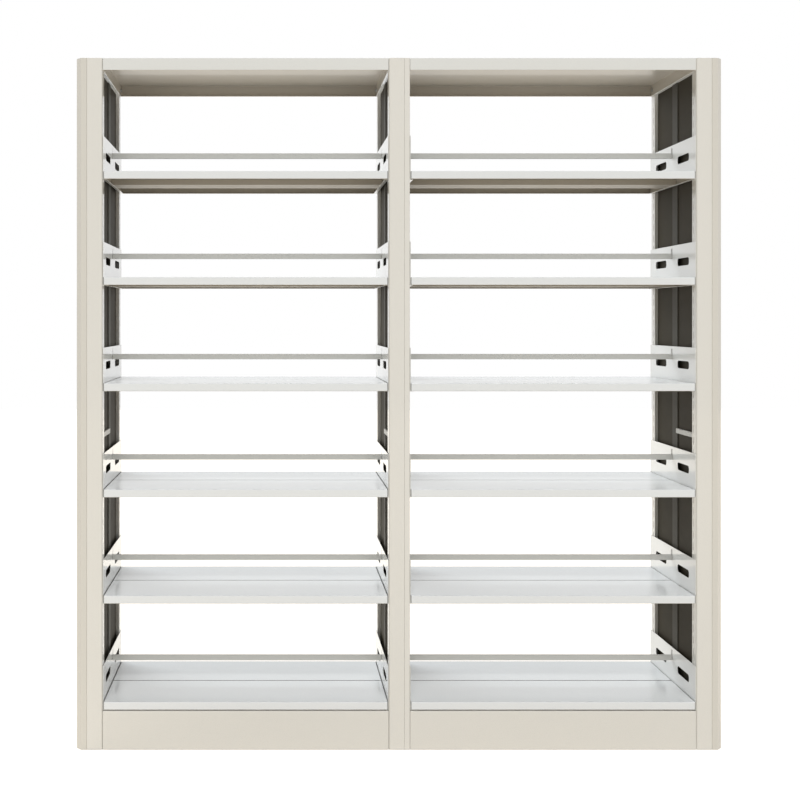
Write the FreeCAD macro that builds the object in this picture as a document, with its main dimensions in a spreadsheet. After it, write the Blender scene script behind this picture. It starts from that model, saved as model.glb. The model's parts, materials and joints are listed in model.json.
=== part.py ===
"""Double sided library shelving: two bays of steel shelves between three upright frames.

Millimetres. X runs along the shelving, the front looks towards -Y, +Z is up, and the
origin is at the middle of the footprint, on the floor.
"""
import FreeCAD, Part
import math
import os
import re

import Sketcher

doc = FreeCAD.newDocument("LibraryShelving")

# ---------------------------------------------------------------- driving dimensions

SIZES = {
    # overall
    "height": 2200,            # floor to the tops of the posts
    "depth": 450,              # front face to rear face
    "bay_opening": 910,        # clear width between the posts of one bay
    "floor_gap": 2,            # posts, panels and kick plates stay this far off the floor
    # posts: folded tubes
    "post_width": 50,
    "post_depth": 40,
    "post_wall": 1.5,
    "bay_corner": 6,           # outer radius of the post's corner that faces the bay
    "fold_radius": 2,          # outer radius of every other fold
    "joining_width": 17,       # channel that closes the middle frame towards the second bay
    # slots in the posts
    "slot_pitch": 37.5,
    "slot_tall": 24,
    "slot_wide": 4,
    "slot_setback": 28,        # front face to the middle of the slot
    "slots_below": 2,          # slots under the lowest hook
    "slot_top_margin": 60,     # plain length left at the top of a post
    # panels at the two ends
    "panel_thick": 34,
    "panel_chamfer": 16,
    "panel_return": 32,
    "casing_sheet": 1.2,       # sheet of covers, kick plates and end panels
    "casing_gap": 0.5,         # covers and kick plates to the posts
    # dark sheets that close the frames
    "infill_recess": 11,
    "infill_fold": 12,
    "infill_sheet": 1,
    "strut_width": 50,
    "strut_proud": 3,
    "rail_height": 38,
    "rail_wall": 1.5,
    "tie_levels": 2.5,         # the ties' height, counted in levels above the lowest shelf
    "tie_tall": 16,
    "tie_proud": 8,
    # covers and kick plates
    "cover_lip": 39,
    "cover_return": 12,
    "kick_top": 125,
    "kick_fold": 36,
    # shelf levels
    "level_count": 6,
    "kick_to_board": 3.5,
    "board_lip": 25,
    "board_return": 12,
    "seam_return": 50,         # wider return that stiffens a board along the seam
    "seam_upstand": 18,        # last fold of the seam return, back up into the board
    "board_sheet": 1.2,
    "seam_gap": 2,             # between the front and the rear board
    "board_gap": 0.5,          # board end to hang plate
    # hang plates
    "plate_sheet": 1.5,
    "plate_rise": 113,         # top edge above the shelf surface
    "plate_inset": 0.5,        # plate edge behind the face of the posts
    "plate_ledge": 9,          # ledge that carries the boards
    "ledge_setback": 14,
    "hang_gap": 1,             # plate to post
    "window_low": 42,
    "window_high": 67,
    "window_near": 61,         # plate end to the window's near side
    "window_far": 170,
    "window_corner": 10,
    "slit_wide": 8,
    "slit_top_margin": 9,
    # hooks on the hang plates
    "hook_low": -10,           # lower slot's bottom edge, from the shelf surface
    "hook_pitches": 2,         # slot pitches between a plate's two hooks
    "hook_thick": 3,
    "hook_tall": 10,
    "hook_drop": 10,
    "tongue": 2,
    "tongue_gap": 0.5,
    "seat_gap": 0.3,           # hook above the edge that it hangs on
    # divider bars
    "bar_tall": 18,
    "bar_thick": 10,
    "bar_sheet": 1.2,
    "bar_low": 69,             # underside above the shelf surface
    "bar_gap": 0.5,
    "tab_thick": 6,
    "tab_tall": 8,
    "tab_drop": 6,
    "tab_rise": 4,             # bar's underside to the slit's bottom
    "tab_root": 12,
    # through bolts
    "bolt": 6,
    "bolt_hole": 6.6,
    "nut_across": 10,
    "nut_thick": 5,
    "head_thick": 4,
    "bolt_spare": 3,
    # levelling feet
    "foot_pad": 34,
    "foot_pad_tall": 6,
    "foot_edge": 2,
    "foot_stem": 10,
    "foot_top": 50,
    "foot_clearance": 0.3,
    "nut_plate_low": 20,
    "nut_plate_tall": 8,
    "nut_plate_chamfer": 5,
}

# What follows from the driving dimensions, each as a formula of a second sheet.
PLACES = {
    "half_depth": "depth / 2",
    "column_half": "(post_width + joining_width) / 2",
    "bay_centre": "column_half + bay_opening / 2",
    "bay_far": "column_half + bay_opening",
    "frame_far": "bay_far + post_width",
    "post_middle": "half_depth - post_depth / 2",
    "upright_length": "height - floor_gap",
    "lowest_top": "kick_top + kick_to_board + board_lip",
    "level_pitches": "round((height - cover_lip - lowest_top) / level_count / slot_pitch)",
    "level_pitch": "slot_pitch * level_pitches",
    "hook_span": "slot_pitch * hook_pitches",
    "slot_first": "lowest_top + hook_low - slot_pitch * slots_below",
    "slot_count": "floor((height - slot_top_margin - slot_tall - slot_first) / slot_pitch) + 1",
    "slot_middle": "half_depth - slot_setback",
    "casing_length": "bay_opening - 2 * casing_gap",
    "kick_height": "kick_top - floor_gap",
    "kick_middle": "(kick_top + floor_gap) / 2",
    "cover_bolt": "height - cover_lip / 2",
    "board_length": "bay_opening - 2 * (hang_gap + plate_sheet + board_gap)",
    "board_depth": "(depth - seam_gap) / 2",
    "plate_outside": "bay_opening / 2 - hang_gap",
    "plate_inside": "plate_outside - plate_sheet",
    "plate_half": "half_depth - plate_inset",
    "plate_low": "-board_lip - plate_sheet",
    "tongue_near": "bay_opening / 2 + post_wall + tongue_gap",
    "bar_length": "2 * (plate_inside - bar_gap)",
    "slit_low": "bar_low + tab_rise",
    "slit_high": "plate_rise - slit_top_margin",
    "tab_near": "plate_outside + tongue_gap",
    "infill_side": "post_width - infill_recess",
    "infill_low": "floor_gap + rail_height",
    "infill_high": "height - rail_height",
    "infill_length": "infill_high - infill_low",
    "infill_width": "depth - 2 * post_depth",
    "tie_length": "infill_width / 2 - strut_width / 2",
    "tie_middle": "lowest_top + level_pitch * tie_levels",
    "end_grip": "casing_gap + casing_sheet + post_width + casing_sheet",
    "middle_grip": "2 * (casing_gap + casing_sheet + column_half)",
}


def fill_sheet(name, rows):
    """A sheet with one row per value: its name, then the value in a cell with that alias."""
    sheet = doc.addObject("Spreadsheet::Sheet", name)
    for row, (alias, content) in enumerate(rows.items(), start=1):
        sheet.set(f"A{row}", f"'{alias}")
        sheet.set(f"B{row}", content)
        sheet.setAlias(f"B{row}", alias)
        CELLS[alias] = f"{name}.{alias}"
    doc.recompute()
    return sheet


CELLS = {}


def expand(formula):
    """The formula with each value's name turned into a reference to its cell."""
    return re.sub(r"[a-z_]+", lambda word: CELLS.get(word[0], word[0]), formula)


sizes = fill_sheet("Sizes", {alias: str(number) for alias, number in SIZES.items()})
for alias in PLACES:
    CELLS[alias] = alias
places = fill_sheet("Places", {alias: "=" + expand(formula) for alias, formula in PLACES.items()})


def number(formula):
    """What a formula comes to with the values as they stand."""
    return float(sizes.evalExpression(expand(formula)))


def bind(thing, prop, formula):
    thing.setExpression(prop, expand(formula))


# ---------------------------------------------------------------- sketches and features

def new_body(label):
    return doc.addObject("PartDesign::Body", label)


def origin_feature(body, role):
    return next(f for f in body.Origin.OriginFeatures if f.Role == role)


def new_sketch(body, plane, offset, name):
    """A sketch on one of the body's own origin planes, moved along the plane's normal."""
    sketch = body.newObject("Sketcher::SketchObject", name)
    sketch.AttachmentSupport = [(origin_feature(body, plane), "")]
    sketch.MapMode = "FlatFace"
    bind(sketch, "AttachmentOffset.Base.z", offset)
    return sketch


def hold(sketch, geometry, point, corner):
    """Tie a point of the sketch to a pair of formulas."""
    for kind, formula in zip(("DistanceX", "DistanceY"), corner):
        place = Sketcher.Constraint(kind, -1, 1, geometry, point, number(formula))
        bind(sketch, f"Constraints[{sketch.addConstraint(place)}]", formula)


def draw_outline(sketch, corners):
    """A closed outline of straight edges through corners given as pairs of formulas."""
    spots = [FreeCAD.Vector(number(across), number(up), 0) for across, up in corners]
    first, count = sketch.GeometryCount, len(corners)
    for index in range(count):
        edge = Part.LineSegment(spots[index], spots[(index + 1) % count])
        sketch.addGeometry(edge, False)
    for index, corner in enumerate(corners):
        previous = first + (index - 1) % count
        sketch.addConstraint(Sketcher.Constraint("Coincident", previous, 2, first + index, 1))
        hold(sketch, first + index, 1, corner)


def draw_box(sketch, low, high):
    draw_outline(sketch, [low, (high[0], low[1]), high, (low[0], high[1])])


def draw_circle(sketch, centre, diameter):
    middle = FreeCAD.Vector(number(centre[0]), number(centre[1]), 0)
    up = FreeCAD.Vector(0, 0, 1)
    index = sketch.addGeometry(Part.Circle(middle, up, number(diameter) / 2), False)
    hold(sketch, index, 3, centre)
    size = sketch.addConstraint(Sketcher.Constraint("Diameter", index, number(diameter)))
    bind(sketch, f"Constraints[{size}]", diameter)


def pad(body, sketch, length, name):
    feature = body.newObject("PartDesign::Pad", name)
    feature.Profile = sketch
    bind(feature, "Length", length)
    doc.recompute()
    return feature


def pocket(body, sketch, length, name):
    """Cut against the sketch's normal."""
    feature = body.newObject("PartDesign::Pocket", name)
    feature.Profile = sketch
    bind(feature, "Length", length)
    doc.recompute()
    return feature


def edges_along(shape, axis, **where):
    """Names of the straight edges along an axis whose middle lies at the given places."""
    names = []
    for index, edge in enumerate(shape.Edges, start=1):
        start, end = edge.Vertexes[0].Point, edge.Vertexes[-1].Point
        run = end - start
        along = abs(getattr(run, axis))
        middle = (start + end) * 0.5
        here = all(abs(getattr(middle, key) - place) < 0.01 for key, place in where.items())
        if here and along > 0.999 * edge.Length:
            names.append(f"Edge{index}")
    return names


def round_edges(body, edge_names, radius, name):
    previous = body.Tip
    feature = body.newObject("PartDesign::Fillet", name)
    feature.Base = (previous, edge_names)
    bind(feature, "Radius", radius)
    doc.recompute()
    return feature


def slot_column(body, sketch, depth):
    """Repeat one hook slot up the whole post."""
    first = pocket(body, sketch, depth, "HookSlot")
    column = body.newObject("PartDesign::LinearPattern", "SlotColumn")
    column.Originals = [first]
    column.Direction = (origin_feature(body, "Z_Axis"), [""])
    bind(column, "Length", "slot_pitch * (slot_count - 1)")
    bind(column, "Occurrences", "slot_count")
    body.Tip = column
    doc.recompute()


def set_place(thing, x="0", y="0", z="0", turn=None):
    if turn:
        thing.Placement.Rotation = turn
    for key, formula in zip("xyz", (x, y, z)):
        if formula != "0":
            bind(thing, f"Placement.Base.{key}", formula)


def mirrored(thing, axis):
    """The same piece on the other side of the middle plane."""
    copy = doc.addObject("Part::Mirroring", thing.Label + "Mirrored")
    copy.Source = thing
    copy.Normal = {"x": FreeCAD.Vector(1, 0, 0), "y": FreeCAD.Vector(0, 1, 0)}[axis]
    doc.recompute()
    return copy


def group(label, pieces, x="0", y="0", z="0"):
    """Separate pieces kept together, moved to their place."""
    whole = doc.addObject("Part::Compound", label)
    whole.Links = pieces
    set_place(whole, x, y, z)
    return whole


def tray(label, length, width, height, sheet, returns=None, upstand=None):
    """Sheet folded down on all four sides: face at z = 0, middle at x = y = 0.

    The free edges of the long sides may have returns, given as their two widths, the one
    towards -Y first. The other one may end in an upstand, given as its height from below.
    """
    body = new_body(label)
    blank = new_sketch(body, "XY_Plane", f"-({height})", "Blank")
    draw_box(blank, (f"-({length}) / 2", f"-({width}) / 2"), (f"({length}) / 2", f"({width}) / 2"))
    pad(body, blank, height, "Folded")
    half = number(width) / 2
    folds = [name for side in (-half, half) for name in edges_along(body.Tip.Shape, "x", y=side, z=0)]
    round_edges(body, folds, "fold_radius", "LongFolds")
    inside = f"({length}) / 2 - {sheet}"
    hollow = new_sketch(body, "XY_Plane", f"-{sheet}", "Hollow")
    wide = f"({width}) / 2 - {sheet}"
    draw_box(hollow, (f"-({inside})", f"-({wide})"), (inside, wide))
    if returns is None:
        pocket(body, hollow, height, "Inside")
        return body
    pocket(body, hollow, f"({height}) - 2 * {sheet}", "Inside")
    mouth = new_sketch(body, "XY_Plane", f"-({height}) + {sheet}", "Mouth")
    near, far = (f"({width}) / 2 - {returned}" for returned in returns)
    draw_box(mouth, (f"-({inside})", f"-({near})"), (inside, far))
    pocket(body, mouth, sheet, "Opening")
    if upstand:
        edge = new_sketch(body, "XY_Plane", f"-({height}) + {sheet}", "ReturnEdge")
        draw_box(edge, (f"-({inside})", far), (inside, f"{far} + {sheet}"))
        pad(body, edge, f"{upstand} - {sheet}", "Upstand")
    return body


NODES = []


def node(label, pieces, x="0", y="0", z="0"):
    """One of the assembly's parts, written to a file of its own."""
    whole = group(label, pieces, x, y, z)
    NODES.append(whole)
    return whole


# a tray stood upright with its face towards +X, and one with its face towards the front
UPRIGHT_TO_RIGHT = FreeCAD.Rotation(
    FreeCAD.Vector(0, 0, 1), FreeCAD.Vector(0, -1, 0), FreeCAD.Vector(1, 0, 0)
)
FACE_TO_FRONT = FreeCAD.Rotation(FreeCAD.Vector(1, 0, 0), 90)

# ---------------------------------------------------------------- posts

def make_post():
    """Front post of a left frame: outer side at x = 0, bay side at x = post_width."""
    body = new_body("Post")
    front, back = "-half_depth", "-half_depth + post_depth"
    blank = new_sketch(body, "XY_Plane", "floor_gap", "Section")
    draw_box(blank, ("0", front), ("post_width", back))
    pad(body, blank, "upright_length", "Upright")
    bore = new_sketch(body, "XY_Plane", "height - post_wall", "Bore")
    draw_box(
        bore,
        ("post_wall", f"{front} + post_wall"),
        ("post_width - post_wall", f"{back} - post_wall"),
    )
    pocket(body, bore, "upright_length", "Inside")
    wide, face, rear = number("post_width"), number(front), number(back)
    wall = number("post_wall")
    inner = edges_along(body.Tip.Shape, "z", x=wide - wall, y=face + wall)
    round_edges(body, inner, "bay_corner - post_wall", "InnerBayCorner")
    bay_corner = edges_along(body.Tip.Shape, "z", x=wide, y=face)
    round_edges(body, bay_corner, "bay_corner", "BayCorner")
    others = [
        name
        for x, y in ((0, face), (0, rear), (wide, rear))
        for name in edges_along(body.Tip.Shape, "z", x=x, y=y)
    ]
    round_edges(body, others, "fold_radius", "OtherCorners")
    slot = new_sketch(body, "YZ_Plane", "post_width", "Slot")
    draw_slot(slot, "-slot_middle")
    slot_column(body, slot, "2 * post_wall")
    holes = new_sketch(body, "YZ_Plane", "post_width", "BoltHoles")
    for level in ("kick_middle", "cover_bolt"):
        draw_circle(holes, ("-post_middle", level), "bolt_hole")
    pocket(body, holes, "post_width", "ThroughBolts")
    return body


def draw_slot(sketch, middle):
    draw_box(
        sketch,
        (f"{middle} - slot_wide / 2", "slot_first"),
        (f"{middle} + slot_wide / 2", "slot_first + slot_tall"),
    )


post_front = make_post()
left_posts = [post_front, mirrored(post_front, "y")]
right_posts = [mirrored(post, "x") for post in left_posts]
node("posts_left", left_posts, x="-frame_far")
node("posts_middle", right_posts, x="post_width - column_half")
node("posts_right", right_posts, x="frame_far")


def make_joining_channel():
    """Channel beside the middle post, its slotted web towards the second bay."""
    body = new_body("JoiningChannel")
    side, back = "column_half", "-half_depth + post_depth"
    blank = new_sketch(body, "XY_Plane", "floor_gap", "Section")
    draw_box(blank, (f"{side} - joining_width", "-half_depth"), (side, back))
    pad(body, blank, "upright_length", "Upright")
    far, face, rear = number(side), number("-half_depth"), number(back)
    folds = [name for y in (face, rear) for name in edges_along(body.Tip.Shape, "z", x=far, y=y)]
    round_edges(body, folds, "fold_radius", "Folds")
    hollow = new_sketch(body, "YZ_Plane", f"{side} - post_wall", "Hollow")
    draw_box(
        hollow,
        ("-half_depth + post_wall", "floor_gap + post_wall"),
        (f"{back} - post_wall", "height - post_wall"),
    )
    pocket(body, hollow, "joining_width", "Inside")
    slot = new_sketch(body, "YZ_Plane", side, "Slot")
    draw_slot(slot, "-slot_middle")
    slot_column(body, slot, "2 * post_wall")
    holes = new_sketch(body, "YZ_Plane", side, "BoltHoles")
    for level in ("kick_middle", "cover_bolt"):
        draw_circle(holes, ("-post_middle", level), "bolt_hole")
    pocket(body, holes, "2 * post_wall", "ThroughBolts")
    return body


channel = make_joining_channel()
node("joining_channels", [channel, mirrored(channel, "y")])

# ---------------------------------------------------------------- frames between the posts

infill = tray("Infill", "infill_length", "infill_width", "infill_fold", "infill_sheet")
set_place(infill, x="infill_side", z="(infill_low + infill_high) / 2", turn=UPRIGHT_TO_RIGHT)
infill_facing_left = mirrored(infill, "x")
node("infill_left", [infill], x="-frame_far")
node("infill_right", [infill_facing_left], x="frame_far")
node(
    "infill_middle",
    [
        group("InfillTowardsFirstBay", [infill_facing_left], x="post_width - column_half"),
        group("InfillTowardsSecondBay", [infill], x="column_half - post_width"),
    ],
)


def make_strut():
    """Strip over the middle of an infill sheet, open towards the sheet."""
    body = new_body("CentreStrut")
    section = new_sketch(body, "XY_Plane", "infill_low", "Section")
    near, proud = "infill_side", "infill_side + strut_proud"
    half, inner = "strut_width / 2", "(strut_width / 2 - infill_sheet)"
    draw_outline(
        section,
        [
            (near, f"-{half}"),
            (proud, f"-{half}"),
            (proud, half),
            (near, half),
            (near, inner),
            (f"{proud} - infill_sheet", inner),
            (f"{proud} - infill_sheet", f"-{inner}"),
            (near, f"-{inner}"),
        ],
    )
    pad(body, section, "infill_length", "Strip")
    return body


def make_tie():
    """Short bar on the infill sheet, from the front post to the centre strut."""
    body = new_body("SideTie")
    section = new_sketch(body, "YZ_Plane", "infill_side", "Section")
    start = "-half_depth + post_depth"
    low, high = "tie_middle - tie_tall / 2", "tie_middle + tie_tall / 2"
    draw_box(section, (start, low), (f"{start} + tie_length", high))
    pad(body, section, "tie_proud", "Bar")
    return body


def make_rail(label, left, right):
    """Square tube between the front and the rear post, its underside at z = 0."""
    body = new_body(label)
    section = new_sketch(body, "XZ_Plane", "-infill_width / 2", "Section")
    draw_box(section, (left, "0"), (right, "rail_height"))
    draw_box(
        section,
        (f"{left} + rail_wall", "rail_wall"),
        (f"{right} - rail_wall", "rail_height - rail_wall"),
    )
    pad(body, section, "infill_width", "Tube")
    return body


def on_frame_sides(label, piece):
    """A piece of the first frame repeated on every side of a frame that faces a bay."""
    other = mirrored(piece, "x")
    return [
        group(label + "LeftFrame", [piece], x="-frame_far"),
        group(label + "TowardsFirstBay", [other], x="post_width - column_half"),
        group(label + "TowardsSecondBay", [piece], x="column_half - post_width"),
        group(label + "RightFrame", [other], x="frame_far"),
    ]


node("centre_struts", on_frame_sides("Strut", make_strut()))
node("side_ties", on_frame_sides("Tie", make_tie()))

end_rail = make_rail("EndRail", "0", "infill_side")
middle_rail = make_rail("MiddleRail", "infill_recess - column_half", "column_half - infill_recess")
rails = []
for place, level in (("Bottom", "floor_gap"), ("Top", "height - rail_height")):
    rails += [
        group(f"{place}RailLeft", [end_rail], x="-frame_far", z=level),
        group(f"{place}RailMiddle", [middle_rail], z=level),
        group(f"{place}RailRight", [mirrored(end_rail, "x")], x="frame_far", z=level),
    ]
node("frame_rails", rails)

# ---------------------------------------------------------------- casing

def make_end_panel():
    """Hollow folded panel, open towards the frame, long outer edges chamfered."""
    body = new_body("EndPanel")
    outline = new_sketch(body, "XY_Plane", "floor_gap", "Section")
    flat = "panel_thick - panel_chamfer"
    slant = "half_depth - panel_chamfer"
    draw_outline(
        outline,
        [
            ("0", "-half_depth"),
            (flat, "-half_depth"),
            ("panel_thick", f"-({slant})"),
            ("panel_thick", slant),
            (flat, "half_depth"),
            ("0", "half_depth"),
        ],
    )
    pad(body, outline, "upright_length", "Panel")
    half = number("half_depth")
    folds = [name for y in (-half, half) for name in edges_along(body.Tip.Shape, "z", x=0, y=y)]
    round_edges(body, folds, "fold_radius", "FrameSideFolds")
    hollow = new_sketch(body, "XY_Plane", "height - casing_sheet", "Hollow")
    bend = f"casing_sheet * {math.tan(math.pi / 8)}"
    wide = "half_depth - casing_sheet"
    deep = "panel_thick - casing_sheet"
    draw_outline(
        hollow,
        [
            ("casing_sheet", f"-({wide})"),
            (f"{flat} - {bend}", f"-({wide})"),
            (deep, f"-({slant} - {bend})"),
            (deep, f"{slant} - {bend}"),
            (f"{flat} - {bend}", wide),
            ("casing_sheet", wide),
        ],
    )
    pocket(body, hollow, "upright_length - 2 * casing_sheet", "Inside")
    mouth = new_sketch(body, "YZ_Plane", "casing_sheet", "Mouth")
    draw_box(
        mouth,
        ("panel_return - half_depth", "floor_gap + panel_return"),
        ("half_depth - panel_return", "height - panel_return"),
    )
    pocket(body, mouth, "casing_sheet", "Opening")
    holes = new_sketch(body, "YZ_Plane", "casing_sheet", "BoltHoles")
    for side in ("-post_middle", "post_middle"):
        for level in ("kick_middle", "cover_bolt"):
            draw_circle(holes, (side, level), "bolt_hole")
    pocket(body, holes, "casing_sheet", "ThroughBolts")
    return body


end_panel = make_end_panel()
node("end_panel_right", [end_panel], x="frame_far")
node("end_panel_left", [mirrored(end_panel, "x")], x="-frame_far")


def drill_end_lips(body, spots):
    """Bolt holes along the whole length, so only the two end lips are drilled."""
    holes = new_sketch(body, "YZ_Plane", "casing_length / 2", "BoltHoles")
    for spot in spots:
        draw_circle(holes, spot, "bolt_hole")
    pocket(body, holes, "casing_length", "ThroughBolts")


cover_returns = ("cover_return", "cover_return")
cover = tray("TopCover", "casing_length", "depth", "cover_lip", "casing_sheet", cover_returns)
drill_end_lips(cover, [(side, "-cover_lip / 2") for side in ("-post_middle", "post_middle")])
node("top_cover_left", [cover], x="-bay_centre", z="height")
node("top_cover_right", [cover], x="bay_centre", z="height")

kick_plate = tray("KickPlate", "casing_length", "kick_height", "kick_fold", "casing_sheet")
drill_end_lips(kick_plate, [("0", "-post_depth / 2")])
set_place(kick_plate, y="-half_depth", z="kick_middle", turn=FACE_TO_FRONT)
kick_plates = [kick_plate, mirrored(kick_plate, "y")]
node("kick_plates_left", kick_plates, x="-bay_centre")
node("kick_plates_right", kick_plates, x="bay_centre")

# ---------------------------------------------------------------- fasteners and feet

def draw_hexagon(sketch, across):
    """Hexagon about the sketch's origin with two level flats."""
    point, side = f"{across} / sqrt(3)", f"{across} / sqrt(3) / 2"
    flat = f"{across} / 2"
    draw_outline(
        sketch,
        [
            (f"-{point}", "0"),
            (f"-{side}", f"-{flat}"),
            (side, f"-{flat}"),
            (point, "0"),
            (side, flat),
            (f"-{side}", flat),
        ],
    )


def make_bolt(label, grip):
    """Through bolt along +X with its head's underside at x = 0, and its nut."""
    bolt = new_body(label)
    head = new_sketch(bolt, "YZ_Plane", "-head_thick", "Head")
    draw_hexagon(head, "nut_across")
    pad(bolt, head, "head_thick", "HeadPad")
    shank = new_sketch(bolt, "YZ_Plane", "-head_thick / 2", "Shank")
    draw_circle(shank, ("0", "0"), "bolt")
    pad(bolt, shank, f"head_thick / 2 + {grip} + nut_thick + bolt_spare", "ShankPad")
    nut = new_body(label + "Nut")
    ring = new_sketch(nut, "YZ_Plane", grip, "Ring")
    draw_hexagon(ring, "nut_across")
    draw_circle(ring, ("0", "0"), "bolt")
    pad(nut, ring, "nut_thick", "RingPad")
    return [bolt, nut]


def bolts_of_frame(label, pieces, x):
    """The four places where a frame is bolted: front and rear, foot and top."""
    return [
        group(f"{label}{number_of_bolt}", pieces, x=x, y=y, z=z)
        for number_of_bolt, (y, z) in enumerate(
            [(y, z) for y in ("-post_middle", "post_middle") for z in ("kick_middle", "cover_bolt")],
            start=1,
        )
    ]


end_bolt = make_bolt("EndBolt", "end_grip")
middle_bolt = make_bolt("MiddleBolt", "middle_grip")
head_seat = "casing_gap + casing_sheet"
right_bolts = group("RightBolts", bolts_of_frame("RightBolt", end_bolt, f"bay_far - ({head_seat})"))
middle_bolts = bolts_of_frame("MiddleBoltAt", middle_bolt, f"-column_half - ({head_seat})")
node("frame_bolts", [right_bolts, mirrored(right_bolts, "x")] + middle_bolts)


def make_foot():
    """Levelling foot: pad and threaded stem, turned about Z."""
    body = new_body("Foot")
    profile = new_sketch(body, "XZ_Plane", "0", "Profile")
    pad_half, stem_half = "foot_pad / 2", "foot_stem / 2"
    draw_outline(
        profile,
        [
            ("0", "0"),
            (f"{pad_half} - foot_edge", "0"),
            (pad_half, "foot_edge"),
            (pad_half, "foot_pad_tall"),
            (stem_half, "foot_pad_tall + foot_edge"),
            (stem_half, "foot_top"),
            ("0", "foot_top"),
        ],
    )
    turned = body.newObject("PartDesign::Revolution", "Turned")
    turned.Profile = profile
    turned.ReferenceAxis = (profile, ["V_Axis"])
    turned.Angle = 360
    doc.recompute()
    return body


def make_nut_plate():
    """Threaded plate inside the foot of a post."""
    body = new_body("NutPlate")
    half_x, half_y = "(post_width / 2 - post_wall)", "(post_depth / 2 - post_wall)"
    cut_x, cut_y = f"({half_x} - nut_plate_chamfer)", f"({half_y} - nut_plate_chamfer)"
    outline = new_sketch(body, "XY_Plane", "nut_plate_low", "Plate")
    draw_outline(
        outline,
        [
            (f"-{cut_x}", f"-{half_y}"),
            (cut_x, f"-{half_y}"),
            (half_x, f"-{cut_y}"),
            (half_x, cut_y),
            (cut_x, half_y),
            (f"-{cut_x}", half_y),
            (f"-{half_x}", cut_y),
            (f"-{half_x}", f"-{cut_y}"),
        ],
    )
    draw_circle(outline, ("0", "0"), "foot_stem + 2 * foot_clearance")
    pad(body, outline, "nut_plate_tall", "PlatePad")
    return body


foot = make_foot()
nut_plate = make_nut_plate()
POST_X = {
    "left": "post_width / 2 - frame_far",
    "middle": "post_width / 2 - column_half",
    "right": "frame_far - post_width / 2",
}
nut_plates = []
for column, x in POST_X.items():
    for end, y in (("front", "-post_middle"), ("rear", "post_middle")):
        node(f"foot_{column}_{end}", [foot], x=x, y=y)
        nut_plates.append(group(f"NutPlate{column}{end}", [nut_plate], x=x, y=y))
node("foot_nut_plates", nut_plates)

# ---------------------------------------------------------------- one shelf level

board_returns = ("board_return", "seam_return")
board = tray(
    "Board", "board_length", "board_depth", "board_lip", "board_sheet", board_returns, "seam_upstand"
)
set_place(board, y="board_depth / 2 - half_depth")
boards = [board, mirrored(board, "y")]


def make_hang_plate():
    """Hang plate at the right end of a shelf level; the shelf surface is at z = 0."""
    body = new_body("HangPlate")
    blank = new_sketch(body, "YZ_Plane", "plate_inside", "Blank")
    draw_box(blank, ("-plate_half", "plate_low"), ("plate_half", "plate_rise"))
    pad(body, blank, "plate_sheet", "Plate")
    ledge = new_sketch(body, "YZ_Plane", "plate_inside - plate_ledge", "Ledge")
    reach = "half_depth - ledge_setback"
    draw_box(ledge, (f"-({reach})", "plate_low"), (reach, "-board_lip"))
    pad(body, ledge, "plate_ledge + plate_sheet / 2", "LedgePad")
    add_hooks(body)
    windows = new_sketch(body, "YZ_Plane", "plate_outside", "Windows")
    near, far = "half_depth - window_near", "half_depth - window_far"
    draw_box(windows, (f"-({near})", "window_low"), (f"-({far})", "window_high"))
    draw_box(windows, (far, "window_low"), (near, "window_high"))
    pocket(body, windows, "plate_sheet", "WindowCuts")
    corners = [
        name
        for side in (-1, 1)
        for across in (near, far)
        for level in ("window_low", "window_high")
        for name in edges_along(body.Tip.Shape, "x", y=side * number(across), z=number(level))
    ]
    round_edges(body, corners, "window_corner", "WindowCorners")
    slit = new_sketch(body, "YZ_Plane", "plate_outside", "Slit")
    draw_box(slit, ("-slit_wide / 2", "slit_low"), ("slit_wide / 2", "slit_high"))
    pocket(body, slit, "plate_sheet", "SlitCut")
    return body


def add_hooks(body):
    """Necks through the slots and tongues that hang down behind the post's wall."""
    start = "plate_inside"
    necks = new_sketch(body, "YZ_Plane", start, "Necks")
    tongues = new_sketch(body, "YZ_Plane", "tongue_near", "Tongues")
    for middle in ("-slot_middle", "slot_middle"):
        left, right = f"{middle} - hook_thick / 2", f"{middle} + hook_thick / 2"
        for edge in ("hook_low", "hook_low + hook_span"):
            top = f"{edge} + seat_gap + hook_tall"
            draw_box(necks, (left, f"{edge} + seat_gap"), (right, top))
            draw_box(tongues, (left, f"{edge} - hook_drop"), (right, top))
    pad(body, necks, f"tongue_near + tongue - {start}", "NeckPad")
    pad(body, tongues, "tongue", "TonguePad")


hang_plate = make_hang_plate()
hang_plates = [hang_plate, mirrored(hang_plate, "x")]


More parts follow.
